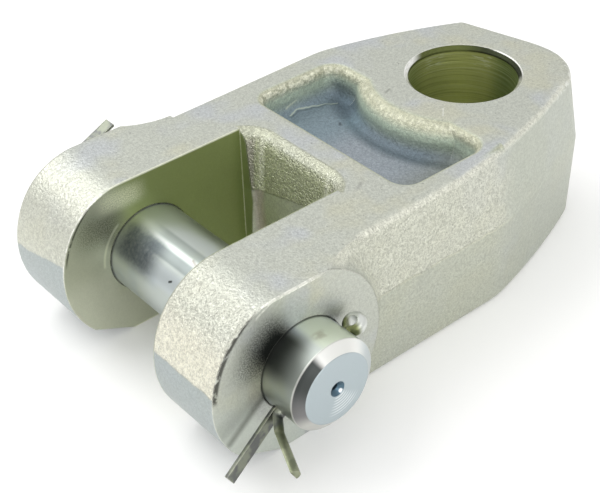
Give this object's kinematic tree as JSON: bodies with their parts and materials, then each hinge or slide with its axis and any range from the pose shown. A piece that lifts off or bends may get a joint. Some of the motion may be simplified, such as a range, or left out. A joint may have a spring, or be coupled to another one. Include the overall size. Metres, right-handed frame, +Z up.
{
  "type": "rod clevis",
  "caption": "Forged steel clevis with a slotted fork, a plain clevis pin held by split pins, and an eye bore at right angles to the pin, for linking a rod or drawbar to an eye.",
  "frame": {"origin": "The middle of the eye bore, at the height of the clevis pin's axis", "axes": "+X from the fork towards the eye, +Y along the clevis pin, +Z up along the eye bore"},
  "size_m": [0.159, 0.1203, 0.0478],
  "materials": {
    "forged_zinc": "zinc-plated forged skin",
    "turned_zinc": "zinc-plated, smooth turned",
    "wire_zinc": "zinc-plated drawn wire"
  },
  "bodies": {
    "clevis": {"clevis_body": "forged_zinc"},
    "pin": {"clevis_pin": "turned_zinc", "near_split_pin": "wire_zinc", "far_split_pin": "wire_zinc"}
  },
  "joints": [
    {"name": "pin_turn", "type": "hinge", "parent": "clevis", "child": "pin", "pos_m": [-0.0992, 0, 0], "axis": [0, 1, 0], "continuous": true}
  ]
}
